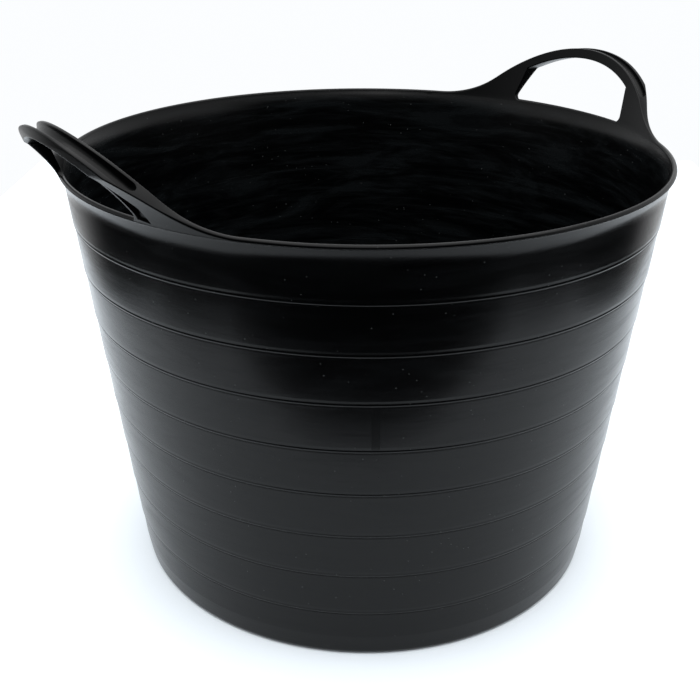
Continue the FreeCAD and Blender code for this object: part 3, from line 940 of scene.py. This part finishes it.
def plan_foot_row(plan):
    """Adds the row along the opening's foot, with its rounded corners, carried on through each leg."""
    size = sizes()
    corner_y, corner_z, corner_middle = corner_place()
    bend = np.clip((plan.far - corner_y) / (plan.skin[0, 0] - corner_y), 0.0, 1.0)
    angle = lerp(-math.pi / 2.0, corner_middle, bend)
    plan.foot_facing = np.stack([np.cos(angle), np.sin(angle)], axis=1)
    foot = np.array([corner_y, corner_z]) + size.opening_corner * plan.foot_facing
    foot[:, 0] = np.where(bend > 0.0, foot[:, 0], plan.far)
    plan.foot_round = lerp(BEAD_RADIUS, SIDE_ROUND, smooth(bend, 0.0, 1.0))
    foot = foot + plan.foot_round[:, None] * plan.foot_facing
    share = (plan.skin[0, 1] - DECK) / (plan.skin[-1, 1] - DECK)
    carried = DECK + share * (plan.grip_row[:, 1] - DECK)
    plan.foot_row = np.where(plan.is_open[:, None], foot, np.stack([plan.far, carried], axis=1))


def rows_between(low, high, share):
    """Rows at those shares of the way from one row of points to another, column by column."""
    return low[:, None] + (high - low)[:, None] * share[None, :, None]


def face_rows(plan, grip_row, top):
    """(y, z) of a face of the handle, column by column: from the deck by foot row and grip row to the top."""
    edge = plan.skin[0, 0]
    deck = np.stack([plan.far, np.full(plan.count, DECK)], axis=1)
    low = rows_between(deck, plan.foot_row, np.linspace(0.0, 1.0, FOOT_ROWS + 1))
    leg = rows_between(plan.foot_row, grip_row, plan.climb)
    fade = (1.0 - smooth(plan.far, edge, edge + 6.0 * MM)) * (plan.far >= edge - 1e-6)
    leg[..., 0] += fade[:, None] * plan.bow[None]
    flange = rows_between(grip_row, top, FLANGE_SHARE)
    return np.concatenate([low, leg[:, 1:], flange[:, 1:]], axis=1)


def pocket_recess(plan, row_count):
    """1 in each leg's pocket and 0 outside, by column and row, so that its sides follow the grid."""
    above = np.full(row_count - FOOT_ROWS - len(plan.climb), 2.0)
    share = np.concatenate([np.zeros(FOOT_ROWS), plan.climb, above])
    off = plan.far - plan.skin[0, 0] + SIDE_ROUND
    across = smooth(off, POCKET_RIB, POCKET_RIB + POCKET_NEAR_EDGE)
    across = across * (1.0 - smooth(off, POCKET_END - POCKET_FAR_EDGE, POCKET_END))
    along = (1.0 - smooth(share, POCKET_TOP_SHARE, POCKET_TOP_END)) * smooth(share, 0.0, POCKET_FOOT_SHARE)
    return across[:, None] * along[None]


def on_face(plan, radius, yz):
    """Points of a face at that radius: x = sqrt(r^2 - y^2), with y in step with r well past the handle."""
    radial = smooth(plan.far, HANDLE_END, HANDLE_END + RADIAL_RUN)
    y = yz[..., 0] * lerp(1.0, radius / RIM_RADIUS, radial[:, None])
    x = np.sqrt(np.maximum(radius ** 2 - y ** 2, 0.0))
    return np.stack([x, y * plan.sign[:, None], yz[..., 1]], axis=-1)


def on_band(plan, profile):
    """Points of the band below the deck: an (r, z) profile in every column."""
    yz = np.stack(np.broadcast_arrays(plan.far[:, None], profile[None, :, 1]), axis=-1)
    return on_face(plan, np.broadcast_to(profile[None, :, 0], yz.shape[:2]), yz)


def in_plane(normal):
    """Directions in y and z as directions in x, y and z."""
    return np.stack([np.zeros(len(normal)), normal[:, 0], normal[:, 1]], axis=1)


def upper_strip(plan, inner, outer):
    """Ribbon over the upper edge, with the channel, whose ends are half round and rise as 1 - t^4."""
    size = sizes()
    gap = np.linalg.norm(outer[:, -1] - inner[:, -1], axis=1)
    half = (size.grip_width - size.inner_flange - size.outer_flange) / 2.0
    run = np.clip((plan.far_high - (size.channel_reach - half)) / half, 0.0, 1.0)
    half_width = half * np.sqrt(1.0 - run ** 2)
    depth = size.channel_depth * np.sqrt(1.0 - run ** 4)
    centre = lerp(gap / 2.0, size.inner_flange + half, smooth(plan.fullness, 0.5, 0.9))
    profile = channelled_edge(gap, np.minimum(plan.top_round, gap / 2.0), half_width, depth, centre)
    normal = plan.top_normal * np.stack([plan.sign, np.ones(plan.count)], axis=1)
    return ribbon(inner[:, -1], outer[:, -1], in_plane(normal), profile)


def opening_strip(plan, inner, outer):
    """Ribbon round the hand opening: along its foot, up one side, back under the grip, down the other."""
    foot, grip = FOOT_ROWS, FOOT_ROWS + len(plan.climb) - 1
    columns = np.arange(plan.left, plan.right + 1)
    climbing = np.arange(1, len(plan.climb) - 1)
    column = np.concatenate([
        columns, np.full(len(climbing), plan.right), columns[::-1], np.full(len(climbing), plan.left),
    ])
    row = np.concatenate([
        np.full(len(columns), foot), foot + climbing, np.full(len(columns), grip), foot + climbing[::-1],
    ])
    signed = np.stack([plan.sign, np.ones(plan.count)], axis=1)
    foot_normal = -plan.foot_facing * signed
    grip_normal = plan.under_normal * signed
    grip_normal[plan.right] = plan.side_normal[-1]
    grip_normal[plan.left] = plan.side_normal[-1] * [-1.0, 1.0]
    rising = plan.side_normal[climbing]
    normal = in_plane(np.vstack([
        foot_normal[columns], rising, grip_normal[columns[::-1]], rising[::-1] * [-1.0, 1.0],
    ]))
    rounding = np.concatenate([
        plan.foot_round[columns], np.full(len(climbing), SIDE_ROUND),
        np.full(len(columns), UNDER_ROUND), np.full(len(climbing), SIDE_ROUND),
    ])
    start, end = inner[column, row], outer[column, row]
    gap = np.linalg.norm(end - start, axis=1)
    strip = ribbon(start, end, normal, rounded_edge(gap, np.minimum(rounding, gap / 2.0)))
    return np.concatenate([strip, strip[:1]])


def joined(plan, inner_band, inner, upper, outer, outer_band, around):
    """Points and faces of the whole half ring: all the grids, the underside of the band, and both ends."""
    cells = np.ones((plan.count - 1, inner.shape[1] - 1), bool)
    cells[plan.left:plan.right, FOOT_ROWS:FOOT_ROWS + len(plan.climb) - 1] = False
    grids = (inner_band, inner, upper, outer, outer_band, around)
    kept = (None, cells, None, cells, None, None)
    starts = np.cumsum([0] + [grid.shape[0] * grid.shape[1] for grid in grids])
    faces = [
        grid_faces(first, grid.shape[0], grid.shape[1], keep)
        for first, grid, keep in zip(starts, grids, kept)
    ]
    inner_foot = starts[0] + np.arange(plan.count) * inner_band.shape[1]
    outer_foot = starts[4] + np.arange(plan.count) * outer_band.shape[1]
    faces.append(np.stack([inner_foot[:-1], inner_foot[1:], outer_foot[1:], outer_foot[:-1]], axis=1))
    faces = np.concatenate(faces).tolist()
    for column in (0, plan.count - 1):
        end = []
        for index, turn in ((0, 1), (1, 1), (2, 1), (3, -1), (4, -1)):
            length = grids[index].shape[1]
            end += (starts[index] + column * length + np.arange(length)[::turn]).tolist()
        faces.append(end)
    return np.concatenate([grid.reshape(-1, 3) for grid in grids]), faces


def half_ring(name, side):
    """Half of the top band with its bead and one handle, on the side 1 or -1 along X.

    Every column runs up the inner face, over the upper edge and down the outer face. A point at height z
    on a face lies at radius r(z), so x = sqrt(r^2 - y^2). The handle's outline and its opening are drawn in
    y and z, and strips with rounded sides join the two faces round both.
    """
    plan = plan_columns()
    plan_upper_edge(plan)
    plan_grip_row(plan)
    plan_foot_row(plan)

    top_drop = OUTER_TOP_DROP * np.clip(plan.fullness, 0.0, 1.0)
    under_drop = OUTER_UNDER_DROP * smooth(plan.top[:, 1], UNDER_DROP_FOOT, UNDER_DROP_TOP)
    outer_top = plan.top - top_drop[:, None] * [0.0, 1.0]
    outer_grip_row = plan.grip_row - under_drop[:, None] * [0.0, 1.0]
    inner_yz = face_rows(plan, plan.grip_row, plan.top)
    outer_yz = face_rows(plan, outer_grip_row, outer_top)
    recess = pocket_recess(plan, inner_yz.shape[1])
    width = handle_width(outer_yz[..., 1])
    outer_radius = inner_radius(outer_yz[..., 1]) + lerp(width, np.minimum(width, POCKET_SKIN), recess)
    inner = on_face(plan, inner_radius(inner_yz[..., 1]), inner_yz)
    outer = on_face(plan, outer_radius, outer_yz)

    points, faces = joined(
        plan,
        inner_band=on_band(plan, inner_band_profile()),
        inner=inner,
        upper=upper_strip(plan, inner, outer),
        outer=outer,
        outer_band=on_band(plan, outer_band_profile()),
        around=opening_strip(plan, inner, outer),
    )
    return piece_from_grid(name, points * [side, 1.0, 1.0] + [0.0, 0.0, RIM_HEIGHT], faces)


class TUB_OT_handles(bpy.types.Operator):
    """Builds the top band, bead and handles as two half rings, one for each handle"""

    bl_idname = "tub.handles"
    bl_label = "Rim and handles"

    def execute(self, context):
        beads = [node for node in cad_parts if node.startswith("rim_bead")]
        for side, name in ((1.0, "right"), (-1.0, "left")):
            half = half_ring(f"rim_and_handle_{name}", side)
            own = [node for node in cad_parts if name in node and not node.startswith("rim_bead")]
            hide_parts("flared_band", *beads, *own)
            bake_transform(half)
        return {"FINISHED"}


# The stage.

CAMERA_DISTANCE = 835.4 * MM
CAMERA_ELEVATION = math.radians(24.31)
CAMERA_TARGET = 170.0 * MM
CAMERA_YAW = math.radians(-0.826)
CAMERA_PITCH = math.radians(-0.899)
CAMERA_ROLL = math.radians(-0.367)
CAMERA_LENS = 52.65
CAMERA_FILM = 36.0
SKY_SIDE = 1.0
SKY_FRONT = 0.005
SKY_LOW = 0.02
SKY_TOP = 1.1
SKY_COLOUR = (0.97, 0.985, 1.0)
OVERHEAD_PLACE = (0.0, -0.15, 1.6)
OVERHEAD_SIZE = 2.4
OVERHEAD_POWER = 46.0

# Corners of the floor as seen from the front, in metres: to the right and away. Past its front edge the
# wall reflects the dark front of the surround.
FLOOR_CORNERS = ((-0.42, -0.43), (0.48, -0.43), (0.63, -0.2), (0.63, 1.2), (-0.63, 1.2), (-0.63, -0.16))


def camera_matrix():
    """Camera looking down at the tub's axis, trimmed by a small yaw, pitch and roll of its own."""
    e = CAMERA_ELEVATION
    base = Matrix(((1, 0, 0), (0, math.sin(e), math.cos(e)), (0, math.cos(e), -math.sin(e))))
    cy, sy = math.cos(CAMERA_YAW), math.sin(CAMERA_YAW)
    cp, sp = math.cos(CAMERA_PITCH), math.sin(CAMERA_PITCH)
    cr, sr = math.cos(CAMERA_ROLL), math.sin(CAMERA_ROLL)
    yaw = Matrix(((cy, 0, -sy), (0, 1, 0), (sy, 0, cy)))
    pitch = Matrix(((1, 0, 0), (0, cp, -sp), (0, sp, cp)))
    roll = Matrix(((cr, -sr, 0), (sr, cr, 0), (0, 0, 1)))
    rows = roll @ pitch @ yaw @ base
    axes = Matrix((rows[0], rows[1], -rows[2])).transposed()
    turn = Matrix.Rotation(FRONT_TURN, 4, "Z")
    back = -CAMERA_DISTANCE * math.cos(e)
    up = CAMERA_TARGET + CAMERA_DISTANCE * math.sin(e)
    return turn @ Matrix.Translation((0.0, back, up)) @ axes.to_4x4()


def from_camera(x, y, z):
    """A place given as seen from the front: x to the right, y away, z up."""
    return Matrix.Rotation(FRONT_TURN, 3, "Z") @ Vector((x, y, z))


def soft_light(name, place, size, power):
    """Square area light that points straight down, at a place as seen from the front."""
    data = bpy.data.lights.new(name, "AREA")
    data.shape = "SQUARE"
    data.size = size
    data.energy = power
    light = bpy.data.objects.new(name, data)
    light.location = from_camera(*place)
    bpy.context.scene.collection.objects.link(light)
    return light


def soft_sky():
    """Pale surround: white behind and at the sides, darker towards the front, and white to the camera."""
    world = bpy.data.worlds.new("soft_surround")
    bpy.context.scene.world = world
    shader = new_tree(world)
    where = shader.node("ShaderNodeTexCoord", out="Generated")

    def along(direction):
        dot = {"operation": "DOT_PRODUCT"}
        return shader.node("ShaderNodeVectorMath", dot, [where, tuple(direction)], out="Value")

    toward = along(from_camera(0.0, -1.0, 0.0))
    upward = along((0.0, 0.0, 1.0))
    low = lerp(SKY_SIDE, SKY_LOW, toward.above(-0.8, -0.4))
    shade = lerp(SKY_SIDE, SKY_FRONT, toward.above(0.25, 0.72))
    shade = lerp(low, shade, upward.above(-0.15, 0.0))
    shade = lerp(shade, SKY_TOP, upward.above(0.28, 0.75))
    seen = shader.node("ShaderNodeLightPath", out="Is Camera Ray")
    values = {"Color": opaque(SKY_COLOUR), "Strength": shade * (1.0 - seen) + seen}
    background = shader.node("ShaderNodeBackground", {}, values)
    shader.node("ShaderNodeOutputWorld", {}, {"Surface": background})


def pale_floor():
    """Flat floor sheet under the tub."""
    sheet = bpy.data.meshes.new("floor")
    corners = [from_camera(x, y, 0.0) for x, y in FLOOR_CORNERS]
    sheet.from_pydata(corners, [], [tuple(range(len(corners)))])
    floor = bpy.data.objects.new("floor", sheet)
    bpy.context.scene.collection.objects.link(floor)
    finish = bpy.data.materials.new("pale_floor")
    shader = new_tree(finish)
    values = {"Base Color": opaque(plastic().floor), "Roughness": 0.7}
    surface = shader.node("ShaderNodeBsdfPrincipled", {}, values)
    shader.node("ShaderNodeOutputMaterial", {}, {"Surface": surface})
    floor.data.materials.append(finish)
    return floor


class TUB_OT_stage(bpy.types.Operator):
    """Builds the pale floor, the soft surround and light, and the camera"""

    bl_idname = "tub.stage"
    bl_label = "Stage"

    def execute(self, context):
        scene = context.scene
        pale_floor()
        soft_sky()
        soft_light("overhead", OVERHEAD_PLACE, OVERHEAD_SIZE, OVERHEAD_POWER)
        data = bpy.data.cameras.new("camera")
        data.lens = CAMERA_LENS
        data.sensor_width = CAMERA_FILM
        data.clip_start = 0.01
        camera = bpy.data.objects.new("camera", data)
        camera.matrix_world = camera_matrix()
        scene.collection.objects.link(camera)
        scene.camera = camera
        scene.view_settings.view_transform = "Standard"
        return {"FINISHED"}


class TUB_PT_panel(bpy.types.Panel):
    """Lists the tub's pieces, sizes and finish"""

    bl_idname = "TUB_PT_panel"
    bl_label = "Mixing Tub"
    bl_space_type = "VIEW_3D"
    bl_region_type = "UI"
    bl_category = "Mixing Tub"

    def draw(self, context):
        layout = self.layout
        for operator in OPERATORS:
            layout.operator(operator.bl_idname)
        for group in (context.scene.tub_sizes, context.scene.tub_plastic):
            column = layout.column()
            for name in group.bl_rna.properties.keys():
                if name not in ("rna_type", "name"):
                    column.prop(group, name)


OPERATORS = (TUB_OT_base, TUB_OT_wall, TUB_OT_handles, TUB_OT_stage)
CLASSES = (TubSizes, TubPlastic, *OPERATORS, TUB_PT_panel)


def register():
    """Registers the classes and hangs the sizes and the finish on the scene."""
    for item in CLASSES:
        bpy.utils.register_class(item)
    bpy.types.Scene.tub_sizes = PointerProperty(type=TubSizes)
    bpy.types.Scene.tub_plastic = PointerProperty(type=TubPlastic)


def unregister():
    """Undoes register, in the opposite order."""
    del bpy.types.Scene.tub_plastic
    del bpy.types.Scene.tub_sizes
    for item in reversed(CLASSES):
        bpy.utils.unregister_class(item)


def main():
    """Builds the tub and its stage."""
    register()
    bpy.ops.tub.base()
    bpy.ops.tub.wall()
    bpy.ops.tub.handles()
    bpy.ops.tub.stage()


if __name__ == "__main__":
    main()
